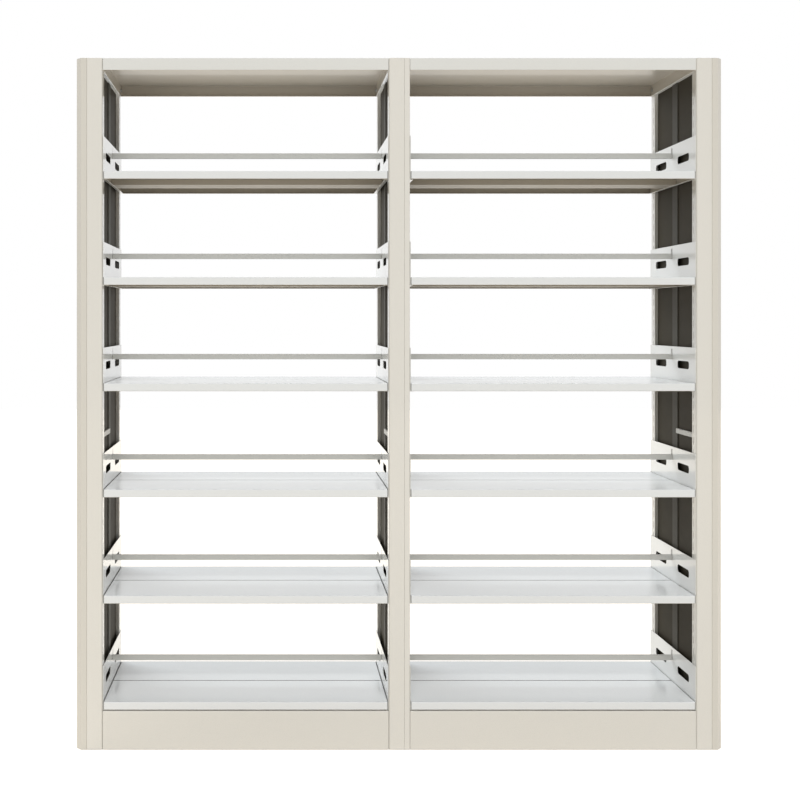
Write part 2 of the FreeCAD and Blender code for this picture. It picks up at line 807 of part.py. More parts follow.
def make_divider_bar():
    """Bar between the hang plates, open below, with a tab at each end."""
    body = new_body("DividerBar")
    high = "bar_low + bar_tall"
    half, inner = "bar_thick / 2", "(bar_thick / 2 - bar_sheet)"
    section = new_sketch(body, "YZ_Plane", "-bar_length / 2", "Section")
    draw_outline(
        section,
        [
            (f"-{half}", "bar_low"),
            (f"-{half}", high),
            (half, high),
            (half, "bar_low"),
            (inner, "bar_low"),
            (inner, f"{high} - bar_sheet"),
            (f"-{inner}", f"{high} - bar_sheet"),
            (f"-{inner}", "bar_low"),
        ],
    )
    pad(body, section, "bar_length", "Bar")
    side = number(half)
    folds = [
        name
        for y in (-side, side)
        for name in edges_along(body.Tip.Shape, "x", y=y, z=number(high))
    ]
    round_edges(body, folds, "fold_radius", "Folds")
    seat, under_top = "slit_low + seat_gap", f"{high} - bar_sheet / 2"
    root, end = "bar_length / 2 - tab_root", "bar_length / 2"
    tab = new_sketch(body, "XZ_Plane", "-tab_thick / 2", "Tab")
    draw_outline(
        tab,
        [
            (root, under_top),
            (root, seat),
            ("tab_near", seat),
            ("tab_near", "slit_low - tab_drop"),
            ("tab_near + tongue", "slit_low - tab_drop"),
            ("tab_near + tongue", f"{seat} + tab_tall"),
            (end, f"{seat} + tab_tall"),
            (end, under_top),
        ],
    )
    one_tab = pad(body, tab, "tab_thick", "TabPad")
    both = body.newObject("PartDesign::Mirrored", "OtherTab")
    both.Originals = [one_tab]
    both.MirrorPlane = (origin_feature(body, "YZ_Plane"), [""])
    body.Tip = both
    doc.recompute()
    return body


divider_bar = make_divider_bar()

for bay, middle in (("left", "-bay_centre"), ("right", "bay_centre")):
    for level in range(round(number("level_count"))):
        top = f"lowest_top + {level} * level_pitch"
        node(f"boards_{bay}_{level + 1}", boards, x=middle, z=top)
        node(f"hang_plates_{bay}_{level + 1}", hang_plates, x=middle, z=top)
        node(f"divider_bar_{bay}_{level + 1}", [divider_bar], x=middle, z=top)

# ---------------------------------------------------------------- checks and files

doc.recompute()
for thing in doc.Objects:
    if {"Invalid", "Error"} & set(thing.State):
        raise RuntimeError(f"{thing.Label} failed: {thing.State}")
    if thing.TypeId == "PartDesign::Pocket" and thing.Shape.Volume >= thing.BaseFeature.Shape.Volume:
        raise RuntimeError(f"{thing.Label} of {thing.getParentGeoFeatureGroup().Label} cuts nothing")
for whole in NODES:
    if whole.Shape.isNull() or not whole.Shape.isValid():
        raise RuntimeError(f"{whole.Label} has no valid shape")

os.makedirs("parts", exist_ok=True)
for whole in NODES:
    whole.Shape.exportStep(os.path.join("parts", whole.Label + ".step"))
print(f"{len(NODES)} nodes, {sum(len(whole.Shape.Solids) for whole in NODES)} solids")
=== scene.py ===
"""Looks of the double sided library shelving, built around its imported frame. Metres, +Z up."""

import json
import math

import bmesh
import bpy
from mathutils import Matrix, Vector


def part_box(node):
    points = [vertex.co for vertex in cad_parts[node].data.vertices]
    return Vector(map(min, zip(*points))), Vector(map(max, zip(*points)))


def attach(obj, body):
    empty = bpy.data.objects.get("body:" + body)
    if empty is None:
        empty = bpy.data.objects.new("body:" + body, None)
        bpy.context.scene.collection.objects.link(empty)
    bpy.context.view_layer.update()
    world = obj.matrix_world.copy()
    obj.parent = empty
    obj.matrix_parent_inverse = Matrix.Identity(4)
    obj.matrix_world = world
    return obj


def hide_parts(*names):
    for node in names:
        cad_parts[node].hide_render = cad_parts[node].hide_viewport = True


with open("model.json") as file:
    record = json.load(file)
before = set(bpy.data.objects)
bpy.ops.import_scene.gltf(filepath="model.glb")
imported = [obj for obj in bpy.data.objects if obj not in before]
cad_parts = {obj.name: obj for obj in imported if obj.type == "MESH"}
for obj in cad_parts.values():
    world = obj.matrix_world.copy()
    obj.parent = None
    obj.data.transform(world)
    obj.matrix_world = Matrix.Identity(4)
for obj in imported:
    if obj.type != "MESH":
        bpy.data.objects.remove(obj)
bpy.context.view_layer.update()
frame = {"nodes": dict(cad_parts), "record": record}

MM = 0.001

# folded sheet
POST_DEPTH = 40 * MM
POST_WALL = 1.5 * MM
CASING_SHEET = 1.2 * MM
BOARD_SHEET = 1.2 * MM
FOLD_RADIUS = 2.0 * MM
BAY_CORNER = 6.0 * MM
COVER_RETURNS = (12 * MM, 12 * MM)
BOARD_RETURNS = (12 * MM, 50 * MM)
BOARD_UPSTAND = 18 * MM
RETURN_RELIEF = 2.5 * MM    # what a return is shorter at each end than its lip
BOARD_SEAM = 2.0 * MM
KICK_FOLD = 36 * MM

# column of hook slots in posts and joining channels
SLOT_TALL = 24 * MM
SLOT_WIDE = 4 * MM
SLOT_PITCH = 37.5 * MM
SLOT_SETBACK = 28 * MM
SLOT_FIRST = 68.5 * MM
SLOT_COUNT = 55

# how finely folds and eased edges are divided, and from what turn on an edge counts as one
TRAY_FOLD_SEGMENTS = 4
POST_FOLD_POINTS = 5
EASED_SEGMENTS = 2
TRAY_FOLD_TURN = math.radians(30)
EASED_TURN = math.radians(38)
SHARP_TURN = math.radians(32)
FLAT_TURN = math.radians(0.5)
INNER_DEPTH = 0.75          # in sheet thicknesses, from where on a face counts as an inner one, which takes painted shade

# how near two points have to be to become one
FACET_WELD = 0.01 * MM
SKIN_WELD = 0.02 * MM

# where finishes change
GROOVE_SHADE_REACH = 1.6 * MM      # how far the painted shade reaches out of a groove
SCUFF_BAND = (0.02, 0.13)   # heights where scuffs begin to fade and where they end
FOOT_PAD_TOP = 7.8 * MM

# how fine the patterns of the finishes are, as noise scales
SHEET_WAVES = 5.5
PAINT_CLOUDS = 2.4
ORANGE_PEEL = 430.0
PAINT_GRAIN = 1500.0
HAND_MARKS = 4.0
SCUFF_STREAKS = 9.0
ZINC_CRYSTALS = 260.0
TURNING_MARKS = 220.0
MOULD_GRAIN = 900.0
FLOOR_FLECKS = 35.0

# how much the marks change the paint
SPECK_SHADE = 0.93
SPECK_SHARE = 0.35
SCUFF_SHADE = 0.62
HAND_ROUGHNESS = 0.08
SCUFF_ROUGHNESS = 0.3
GROOVE_ROUGHNESS = 0.5
COAT_ROUGHNESS = 0.08

BOARD_LOW, BOARD_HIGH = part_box("boards_right_1")
BAY_CENTRE = (BOARD_LOW.x + BOARD_HIGH.x) / 2
BOARD_HALF = BOARD_HIGH.x - BAY_CENTRE

BODY_OF = {
    node: body
    for body, members in frame["record"]["behaviour"]["bodies"].items()
    for node in members
}
SLOT_OF = {part["node"]: part["material_slot"] for part in frame["record"]["subparts"]}


# ---------------------------------------------------------------- node graphs

class Socket:
    """An output of a node that takes part in arithmetic."""

    def __init__(self, graph, plug):
        self.graph = graph
        self.plug = plug

    def also(self, name):
        """Another output of the same node."""
        return Socket(self.graph, self.plug.node.outputs[name])

    def maths(self, operation, *terms):
        return self.graph.node("ShaderNodeMath", {"operation": operation}, dict(enumerate(terms)))

    def __add__(self, other):
        return self.maths("ADD", self, other)

    __radd__ = __add__

    def __sub__(self, other):
        return self.maths("SUBTRACT", self, other)

    def __rsub__(self, other):
        return self.maths("SUBTRACT", other, self)

    def __mul__(self, other):
        return self.maths("MULTIPLY", self, other)

    __rmul__ = __mul__

    def __lt__(self, other):
        return self.maths("LESS_THAN", self, other)

    def __gt__(self, other):
        return self.maths("GREATER_THAN", self, other)

    def __or__(self, other):
        """Where either of two masks is."""
        return self.maths("MAXIMUM", self, other)

    __ror__ = __or__

    def __abs__(self):
        return self.maths("ABSOLUTE", self)


class Graph:
    """A node tree that is being filled: every node comes from node()."""

    def __init__(self, tree):
        self.tree = tree

    def node(self, kind, settings=None, inputs=None, output=0):
        """A node with its settings made first, then its sockets linked or set."""
        made = self.tree.nodes.new(kind)
        for name, value in (settings or {}).items():
            if name == "stops":
                set_stops(made.color_ramp, value)
            elif name == "items":
                while len(made.index_switch_items) < value:
                    made.index_switch_items.new()
            else:
                setattr(made, name, value)
        for key, value in (inputs or {}).items():
            plug = made.inputs[key]
            for item in value if isinstance(value, list) else [value]:
                if isinstance(item, Socket):
                    self.tree.links.new(item.plug, plug)
                else:
                    plug.default_value = item
        return Socket(self, made.outputs[output]) if made.outputs else made

    def mix(self, amount, first, second, blend="MIX"):
        """A colour made of two colours."""
        settings = {"data_type": "RGBA", "blend_type": blend}
        return self.node("ShaderNodeMix", settings, {"Factor": amount, 6: first, 7: second}, output=2)

    def ranged(self, value, given, wanted):
        """A value moved from one range into another, and held inside it."""
        limits = {
            "From Min": given[0],
            "From Max": given[1],
            "To Min": wanted[0],
            "To Max": wanted[1],
        }
        return self.node("ShaderNodeMapRange", inputs={"Value": value, **limits})

    def noise(self, place, scale, detail=2.0, roughness=0.5):
        inputs = {"Vector": place, "Scale": scale, "Detail": detail, "Roughness": roughness}
        return self.node("ShaderNodeTexNoise", inputs=inputs)

    def stretched(self, place, x, y, z):
        """Coordinates that draw a pattern out along the axes with small factors."""
        return self.node("ShaderNodeMapping", inputs={"Vector": place, "Scale": (x, y, z)})

    def bump(self, height, strength, distance, over=None):
        """Relief that follows a height, on top of another relief where one is given."""
        inputs = {"Strength": strength, "Distance": distance, "Height": height}
        if over:
            inputs["Normal"] = over
        return self.node("ShaderNodeBump", inputs=inputs)

    def choose(self, data_type, options):
        """The option whose place in the list is the point's index."""
        index = self.node("GeometryNodeInputIndex")
        inputs = {0: index, **{place: option for place, option in enumerate(options, start=1)}}
        settings = {"data_type": data_type, "items": len(options)}
        return self.node("GeometryNodeIndexSwitch", settings, inputs)

    def vector(self, x=0.0, y=0.0, z=0.0):
        return self.node("ShaderNodeCombineXYZ", inputs={"X": x, "Y": y, "Z": z})

    def together(self, *parts):
        return self.node("GeometryNodeJoinGeometry", inputs={"Geometry": list(parts)})

    def moved_up(self, geometry, height):
        inputs = {"Geometry": geometry, "Translation": self.vector(z=height)}
        return self.node("GeometryNodeTransform", inputs=inputs)


def set_stops(ramp, stops):
    """Give a colour ramp its (position, colour) stops."""
    while len(ramp.elements) < len(stops):
        ramp.elements.new(1.0)
    for element, (position, colour) in zip(ramp.elements, stops):
        element.position = position
        element.color = colour


# ---------------------------------------------------------------- colours

def screen(red, green, blue):
    """A colour given in display values from 0 to 255."""
    parts = [value / 255 for value in (red, green, blue)]
    linear = [p / 12.92 if p <= 0.04045 else ((p + 0.055) / 1.055) ** 2.4 for p in parts]
    return (*linear, 1.0)


def scaled(colour, factor):
    return (*(part * factor for part in colour[:3]), 1.0)


BLACK = (0.0, 0.0, 0.0, 1.0)
WHITE = (1.0, 1.0, 1.0, 1.0)

FRAME_TONE = screen(221, 219, 213)
COVER_TONE = screen(221, 222, 220)
# painted reflection and light: the boards are cooler and lighter than the frame's paint, standing in for
# the sky reflected in their tops
BOARD_SKY_TINTED_TONE = screen(226, 229, 231)
# painted light: the hang plates are lighter than the frame's paint, in place of light on the bays' side
# walls
PLATE_LIT_TONE = screen(235, 235, 232)
# painted shade: the end panels are darker than the frame's paint, for the shade on their chamfers
PANEL_SHADED_TONE = screen(212, 209, 201)
# painted shade: faces inside and below the boards and covers get these darker tones in place of the shade
# that falls there
BOARD_SHADED_INNER_TONE = screen(186, 180, 170)
COVER_SHADED_INNER_TONE = scaled(BOARD_SHADED_INNER_TONE, 1.12)
BAR_TONE = screen(198, 198, 194)
INFILL_TONE = screen(60, 55, 45)
STRUT_TONE = screen(82, 80, 74)
# painted shade for the grooves round the boards' tops
GROOVE_SHADE_TONE = screen(92, 92, 90)

ZINC_TONES = (screen(168, 170, 172), screen(202, 204, 205))
PAD_TONES = (screen(24, 24, 25), screen(38, 38, 39))
STEM_TONE = screen(186, 188, 190)
FLOOR_TONES = (screen(214, 202, 184), screen(219, 207, 189))
FLOOR_LIFT = scaled(WHITE, 0.72)    # what the floor adds of itself to reach the backdrop's white
DAYLIGHT_TINT = (0.94, 0.98, 1.0, 1.0)


# ---------------------------------------------------------------- finishes

def new_finish(name):
    """An empty material, its graph, and the coordinates of a point on the object."""
    material = bpy.data.materials.new(name)
    material.use_nodes = True
    material.node_tree.nodes.clear()
    graph = Graph(material.node_tree)
    return material, graph, graph.node("ShaderNodeTexCoord", output="Object")


def close_finish(graph, shader):
    graph.node("ShaderNodeOutputMaterial", inputs={"Surface": shader})


def height_of(graph, place):
    return graph.node("ShaderNodeSeparateXYZ", inputs={"Vector": place}).also("Z")


def board_joints(graph, place):
    """1 in the grooves round the boards' tops, the seam and the two ends, where shade is painted in."""
    axes = graph.node("ShaderNodeSeparateXYZ", inputs={"Vector": place})
    at_seam = abs(axes.also("Y")) < BOARD_SEAM / 2 + GROOVE_SHADE_REACH
    at_end = abs(abs(axes.also("X")) - BAY_CENTRE) > BOARD_HALF - GROOVE_SHADE_REACH
    return at_seam | at_end


def mottled_paint(graph, place, colour, mottle):
    """The paint's colour in slow clouds, with fine darker specks."""
    clouds = graph.noise(place, PAINT_CLOUDS, detail=3.0, roughness=0.6)
    tone = graph.mix(clouds, scaled(colour, 1 - mottle), scaled(colour, 1 + mottle))
    grain = graph.noise(place, PAINT_GRAIN, detail=1.0)
    stops = [(0.30, scaled(colour, SPECK_SHADE)), (0.42, WHITE)]
    specks = graph.node("ShaderNodeValToRGB", {"stops": stops}, {"Fac": grain})
    return graph.mix(SPECK_SHARE, tone, specks, blend="MULTIPLY")


def low_scuffs(graph, place, strength):
    """How much the paint is scuffed: level streaks that fade out above the floor."""
    low_down = graph.ranged(height_of(graph, place), SCUFF_BAND, (1.0, 0.0))
    level = graph.stretched(place, 2.0, 2.0, 40.0)
    streaks = graph.noise(level, SCUFF_STREAKS, detail=5.0, roughness=0.7)
    return graph.ranged(streaks, (0.60, 0.74), (0.0, strength)) * low_down


def powder_coat(
    name, colour, gloss, peel=0.30, coat=0.25, shine=0.5, mottle=0.02, scuffs=0.0, joints=None
):
    """Oven-cured powder paint on sheet steel: fine orange peel over slow waves of the sheet.

    The gloss is a roughness. Scuffs have a strength, and joints is a mask of grooves where the paint is
    darkened as painted shade, made rougher and left without coat.
    """
    material, graph, place = new_finish(name)
    surface = mottled_paint(graph, place, colour, mottle)
    handled = graph.noise(graph.stretched(place, 3.0, 3.0, 9.0), HAND_MARKS, detail=4.0)
    rough = gloss + (handled - 0.5) * HAND_ROUGHNESS
    weight = coat
    if scuffs:
        scuffed = low_scuffs(graph, place, scuffs)
        surface = graph.mix(scuffed, surface, scaled(colour, SCUFF_SHADE))
        rough = rough + scuffed * SCUFF_ROUGHNESS
    if joints:
        groove_shade = joints(graph, place)
        # painted shade: the paint in the grooves is darkened, made rougher and left without coat
        surface = graph.mix(groove_shade, surface, GROOVE_SHADE_TONE)
        rough = rough + groove_shade * GROOVE_ROUGHNESS
        weight = coat - groove_shade * coat
    peel_skin = graph.noise(place, ORANGE_PEEL, detail=2.5, roughness=0.55)
    sheet_wave = graph.noise(place, SHEET_WAVES, detail=1.0)
    fine_relief = graph.bump(peel_skin, strength=peel, distance=0.08 * MM)
    relief = graph.bump(sheet_wave, strength=0.10, distance=4 * MM, over=fine_relief)
    shader = graph.node(
        "ShaderNodeBsdfPrincipled",
        inputs={
            "Base Color": surface,
            "Roughness": rough,
            "Normal": relief,
            "Specular IOR Level": shine,
            "Coat Weight": weight,
            "Coat Roughness": COAT_ROUGHNESS,
        },
    )
    close_finish(graph, shader)
    return material


def zinc_plate(name):
    """Zinc plated steel: cloudy crystals and a satin metal sheen."""
    material, graph, place = new_finish(name)
    cells = {"Vector": place, "Scale": ZINC_CRYSTALS}
    crystals = graph.node("ShaderNodeTexVoronoi", {"feature": "F1"}, cells, output="Color")
    shade = graph.node("ShaderNodeSeparateColor", inputs={"Color": crystals})
    turned = graph.noise(graph.stretched(place, 1.0, 1.0, 12.0), TURNING_MARKS)
    shader = graph.node(
        "ShaderNodeBsdfPrincipled",
        inputs={
            "Base Color": graph.mix(shade, *ZINC_TONES),
            "Metallic": 1.0,
            "Roughness": 0.30 + shade * 0.15,
            "Normal": graph.bump(turned, strength=0.2, distance=0.2 * MM),
        },
    )
    close_finish(graph, shader)
    return material


def foot_finish(name):
    """Moulded black pad below, zinc plated stem above it."""
    material, graph, place = new_finish(name)
    stem = height_of(graph, place) > FOOT_PAD_TOP
    mould = graph.noise(place, MOULD_GRAIN, detail=3.0)
    shader = graph.node(
        "ShaderNodeBsdfPrincipled",
        inputs={
            "Base Color": graph.mix(stem, graph.mix(mould, *PAD_TONES), STEM_TONE),
            "Metallic": stem,
            "Roughness": 0.62 - stem * 0.28,
            "Normal": graph.bump(mould, strength=0.25, distance=0.3 * MM),
        },
    )
    close_finish(graph, shader)
    return material


FINISHES = {
    "frame_paint": powder_coat("warm_grey_coat", FRAME_TONE, gloss=0.36, coat=1.0),
    "board_paint": powder_coat(
        "board_coat_painted_sky_tint", BOARD_SKY_TINTED_TONE, gloss=0.22, coat=0.25, peel=0.15, joints=board_joints
    ),
    "bar_paint": powder_coat("bar_coat", BAR_TONE, gloss=0.38, coat=0.0),
    "dark_paint": powder_coat("charcoal_coat", INFILL_TONE, gloss=0.62, coat=0.0, shine=0.12, mottle=0.08),
    "strut_paint": powder_coat("strut_coat", STRUT_TONE, gloss=0.58, coat=0.0, shine=0.15, mottle=0.06),
    "zinc": zinc_plate("zinc_plate"),
    "foot_black": foot_finish("foot_rubber_and_stem"),
}
KICK_FINISH = powder_coat("kick_plate_coat", FRAME_TONE, gloss=0.38, scuffs=0.22)
COVER_FINISH = powder_coat("cover_coat", COVER_TONE, gloss=0.36)
PANEL_SHADED_FINISH = powder_coat("end_panel_coat_painted_darker", PANEL_SHADED_TONE, gloss=0.36, coat=0.6)
PLATE_LIT_FINISH = powder_coat("hang_plate_coat_painted_lighter", PLATE_LIT_TONE, gloss=0.32, coat=1.0)
# painted shade inside boards and covers: darker tones; the boards' inside is also duller and has no coat
BOARD_INSIDE_SHADED = powder_coat("thin_coat_and_painted_shade_in_boards", BOARD_SHADED_INNER_TONE, gloss=0.48, coat=0.0, shine=0.34)
COVER_INSIDE_SHADED = powder_coat("painted_shade_in_covers", COVER_SHADED_INNER_TONE, gloss=0.36)


# ---------------------------------------------------------------- meshes

def mesh_object(name, mesh):
    piece = bpy.data.objects.new(name, mesh)
    bpy.context.scene.collection.objects.link(piece)
    return piece


def add_modifier(piece, kind, **settings):
    modifier = piece.modifiers.new(kind.lower(), kind)
    for name, value in settings.items():
        setattr(modifier, name, value)


def baked(piece):
    """The piece's mesh with its modifiers applied; the piece itself is removed."""
    graph = bpy.context.evaluated_depsgraph_get()
    mesh = bpy.data.meshes.new_from_object(piece.evaluated_get(graph), depsgraph=graph)
    bpy.data.objects.remove(piece)
    return mesh


def mesh_from(work):
    """A mesh from a bmesh, which is freed."""
    mesh = bpy.data.meshes.new("work")
    work.to_mesh(mesh)
    work.free()
    return mesh


def smooth(mesh):
    """Smooth shading with sharp edges kept where faces turn by more than SHARP_TURN."""
    mesh.shade_smooth()
    mesh.set_sharp_from_angle(angle=SHARP_TURN)


def thickened(mesh, sheet):
    """Sheet of the given thickness, its outer side where the mesh is, smoothly shaded."""
    piece = mesh_object("sheet", mesh)
    add_modifier(piece, "SOLIDIFY", thickness=sheet, offset=-1.0, use_even_offset=True)
    return evenly_shaded(baked(piece))


def evenly_shaded(mesh):
    """Large faces shaded flat up to the small ones that round their edges."""
    smooth(mesh)
    piece = mesh_object("shaded", mesh)
    add_modifier(piece, "WEIGHTED_NORMAL", keep_sharp=True)
    return baked(piece)


def joined(meshes, matrices):
    """One mesh from several, each moved by its matrix, with mirrored ones turned right side out."""
    whole = bmesh.new()
    for mesh, matrix in zip(meshes, matrices):
        part = bmesh.new()
        part.from_mesh(mesh)
        part.transform(matrix)
        if matrix.determinant() < 0:
            bmesh.ops.reverse_faces(part, faces=part.faces)
        moved = mesh_from(part)
        whole.from_mesh(moved)
        bpy.data.meshes.remove(moved)
    return mesh_from(whole)


def box_middle(node):
    """A node's centre and its size."""
    low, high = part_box(node)
    return (low + high) / 2, high - low


def nodes_called(start):
    return sorted(name for name in frame["nodes"] if name.startswith(start))


def show(node, mesh, finish=None, shaded_inner_finish=None):
    """Put a finished mesh in a CAD node's place, on that node's body."""
    piece = mesh_object("painted_" + node, mesh)
    if mesh.materials:      # clearing an empty list would still undo the faces' choice of finish
        mesh.materials.clear()
    mesh.materials.append(finish or FINISHES[SLOT_OF[node]])
    # faces inside and below take a second finish that carries painted shade
    if shaded_inner_finish:
        mesh.materials.append(shaded_inner_finish)
    else:
        mesh.polygons.foreach_set("material_index", [0] * len(mesh.polygons))
    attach(piece, BODY_OF[node])
    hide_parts(node)


# ---------------------------------------------------------------- folded trays

def tray_skin(half_x, half_y, height, returns, upstand):
    """The outer side of a tray: top, four lips, and what the long lips carry."""
    skin = bmesh.new()
    corners = [(-half_x, -half_y), (half_x, -half_y), (half_x, half_y), (-half_x, half_y)]
    top = [skin.verts.new((x, y, 0)) for x, y in corners]
    foot = [skin.verts.new((x, y, -height)) for x, y in corners]
    skin.faces.new(top)
    for this, following in ((0, 1), (1, 2), (2, 3), (3, 0)):
        skin.faces.new((top[this], foot[this], foot[following], top[following]))
    long_lips = ((0, 1, returns[0]), (2, 3, returns[1])) if returns else ()
    for this, following, wide in long_lips:
        ends = []
        for corner in (foot[this], foot[following]):
            x, y, z = corner.co
            inward = (x - math.copysign(RETURN_RELIEF, x), y - math.copysign(wide, y), z)
            ends.append(skin.verts.new(inward))
        skin.faces.new((foot[this], *ends, foot[following]))
        if upstand and this == 2:
            raised = [skin.verts.new(end.co + Vector((0, 0, upstand))) for end in ends]
            skin.faces.new((ends[0], *raised, ends[1]))
    bmesh.ops.recalc_face_normals(skin, faces=skin.faces)
    top_face = max(skin.faces, key=lambda face: face.calc_center_median().z)
    if top_face.normal.z < 0:
        bmesh.ops.reverse_faces(skin, faces=skin.faces)
    return mesh_from(skin)


def folded_tray(length, width, height, sheet, returns=None, upstand=0.0):
    """Sheet folded down on four sides, face up at z = 0.

    The long sides may have returns, given as two widths, the one towards -Y first. The other
    return may end in an upstand. Faces inside and below have material 1, which takes painted shade, the
    others 0.
    """
    half_x, half_y = length / 2, width / 2
    piece = mesh_object("tray", tray_skin(half_x, half_y, height, returns, upstand))
    add_modifier(
        piece,
        "BEVEL",
        width=FOLD_RADIUS,
        segments=TRAY_FOLD_SEGMENTS,
        limit_method="ANGLE",
        angle_limit=TRAY_FOLD_TURN,
    )
    mesh = thickened(baked(piece), sheet)
    for face in mesh.polygons:
        x, y, z = face.center
        depth = min(half_x - abs(x), half_y - abs(y), -z)
        # material 1 marks the inner faces, which take painted shade
        face.material_index = int(depth > sheet * INNER_DEPTH)
    return mesh


def show_boards():
    """Front and rear board of every level."""
    names = nodes_called("boards_")
    size = box_middle(names[0])[1]
    depth = (size.y - BOARD_SEAM) / 2
    board = folded_tray(size.x, depth, size.z, BOARD_SHEET, BOARD_RETURNS, BOARD_UPSTAND)
    front = Matrix.Translation((0, (depth - size.y) / 2, 0))
    rear = Matrix.Rotation(math.pi, 4, "Z") @ front
    for name in names:
        top = box_middle(name)[0] + Vector((0, 0, size.z / 2))
        mesh = joined([board, board], [Matrix.Translation(top) @ turn for turn in (front, rear)])
        show(name, mesh, shaded_inner_finish=BOARD_INSIDE_SHADED)


def show_covers():
    for name in nodes_called("top_cover_"):
        centre, size = box_middle(name)
        tray = folded_tray(size.x, size.y, size.z, CASING_SHEET, COVER_RETURNS)
        tray.transform(Matrix.Translation(centre + Vector((0, 0, size.z / 2))))
        show(name, tray, COVER_FINISH, COVER_INSIDE_SHADED)


def show_kick_plates():
    """A tray on edge at the front and one at the rear, faces outwards."""
    for name in nodes_called("kick_plates_"):
        centre, size = box_middle(name)
        tray = folded_tray(size.x, size.z, KICK_FOLD, CASING_SHEET)
        matrices = []
        for side in (-1, 1):
            face_middle = centre + Vector((0, side * size.y / 2, 0))
            on_edge = Matrix.Rotation(-side * math.pi / 2, 4, "X")
            matrices.append(Matrix.Translation(face_middle) @ on_edge)
        show(name, joined([tray, tray], matrices), KICK_FINISH)


# ---------------------------------------------------------------- slotted posts

POST_SIZES = (
    "Wide",
    "Deep",
    "Low",
    "High",
    "Bay Corner",
    "Fold",
    "Slot Wide",
    "Slot Tall",
    "Slot Pitch",
    "Slot Setback",
    "Slot First",
)


def slotted_post_tree():
    """Geometry Nodes: a folded skin with a column of slots in the wall at x = Wide.

    The section runs from one edge of the slot round to the other. The same cell, one slot
    and the land above it, is repeated up the post. With Open Back at 1, the wall at x = 0
    is left out, as on a channel.
    """
    tree = bpy.data.node_groups.new("slotted_post", "GeometryNodeTree")
    sockets = tree.interface
    sockets.new_socket("Geometry", in_out="OUTPUT", socket_type="NodeSocketGeometry")
    for name in POST_SIZES:
        sockets.new_socket(name, in_out="INPUT", socket_type="NodeSocketFloat")
    for name in ("Slot Count", "Open Back"):
        sockets.new_socket(name, in_out="INPUT", socket_type="NodeSocketInt")
    sockets.new_socket("Finish", in_out="INPUT", socket_type="NodeSocketMaterial")

    graph = Graph(tree)
    given = graph.node("NodeGroupInput")
    wide = given.also("Wide")
    deep = given.also("Deep")
    low = given.also("Low")
    high = given.also("High")
    fold = given.also("Fold")
    open_back = given.also("Open Back")
    half_slot = given.also("Slot Wide") * 0.5
    slot_middle = given.also("Slot Setback")
    slot_tall = given.also("Slot Tall")
    pitch = given.also("Slot Pitch")
    first = given.also("Slot First")
    count = given.also("Slot Count")

    corners = [
        graph.vector(wide, slot_middle + half_slot),
        graph.vector(wide, deep),
        graph.vector(0.0, deep),
        graph.vector(0.0, 0.0),
        graph.vector(wide, 0.0),
        graph.vector(wide, slot_middle - half_slot),
    ]
    back_fold = fold * (1 - open_back)
    radius = graph.choose("FLOAT", [0.0, fold, back_fold, back_fold, given.also("Bay Corner"), 0.0])
    places = {"Count": len(corners), "Position": graph.choose("VECTOR", corners)}
    points = graph.node("GeometryNodePoints", inputs=places)

    def rounded(curve):
        return graph.node(
            "GeometryNodeFilletCurve",
            {"mode": "POLY"},
            {"Curve": curve, "Count": POST_FOLD_POINTS, "Radius": radius, "Limit Radius": False},
        )

    def raised(outline, start, tall):
        """A wall that stands on an outline, from a height up."""
        return graph.node(
            "GeometryNodeExtrudeMesh",
            {"mode": "EDGES"},
            {"Mesh": graph.moved_up(outline, start), "Offset": graph.vector(z=tall), "Offset Scale": 1.0},
        )

    index = graph.node("GeometryNodeInputIndex")
    half_of_channel = (index > len(corners) / 2 - 0.5) * open_back
    groups = {"Points": points, "Curve Group ID": half_of_channel}
    section_curve = rounded(graph.node("GeometryNodePointsToCurves", inputs=groups))
    section = graph.node("GeometryNodeCurveToMesh", inputs={"Curve": section_curve})
    slot_ends = {"Start": corners[-1], "End": corners[0]}
    strip_line = graph.node("GeometryNodeCurvePrimitiveLine", inputs=slot_ends)
    strip = graph.node("GeometryNodeCurveToMesh", inputs={"Curve": strip_line})
    whole_section = graph.together(section, strip)

    slotted_part = raised(section, 0.0, slot_tall)
    land = raised(whole_section, slot_tall, pitch - slot_tall)
    spots = graph.node(
        "GeometryNodeMeshLine",
        {"mode": "OFFSET"},
        {"Count": count, "Start Location": graph.vector(z=first), "Offset": graph.vector(z=pitch)},
    )
    cells = graph.node(
        "GeometryNodeInstanceOnPoints",
        inputs={"Points": spots, "Instance": graph.together(slotted_part, land)},
    )
    slots_end = first + pitch * count

    open_ring = graph.node("GeometryNodePointsToCurves", inputs={"Points": points})
    ring = graph.node("GeometryNodeSetSplineCyclic", inputs={"Geometry": open_ring, "Cyclic": True})
    lid = graph.node("GeometryNodeFillCurve", {"mode": "NGONS"}, {"Curve": rounded(ring)})

    everything = graph.together(
        raised(whole_section, low, first - low),
        graph.node("GeometryNodeRealizeInstances", inputs={"Geometry": cells}),
        raised(whole_section, slots_end, high - slots_end),
        graph.moved_up(lid, high),
    )
    seams = {"Geometry": everything, "Distance": SKIN_WELD}
    welded = graph.node("GeometryNodeMergeByDistance", inputs=seams)
    whole = graph.node("GeometryNodeRealizeInstances", inputs={"Geometry": welded})
    coat = {"Geometry": whole, "Material": given.also("Finish")}
    painted = graph.node("GeometryNodeSetMaterial", inputs=coat)
    graph.node("NodeGroupOutput", inputs={"Geometry": painted})
    return tree


def run_tree(tree, values):
    """The mesh that a Geometry Nodes tree makes from the given inputs."""
    holder = mesh_object("holder", bpy.data.meshes.new("holder"))
    modifier = holder.modifiers.new("nodes", "NODES")
    modifier.node_group = tree
    for item in tree.interface.items_tree:
        if item.in_out == "INPUT" and item.name in values:
            modifier[item.identifier] = values[item.name]
    return baked(holder)


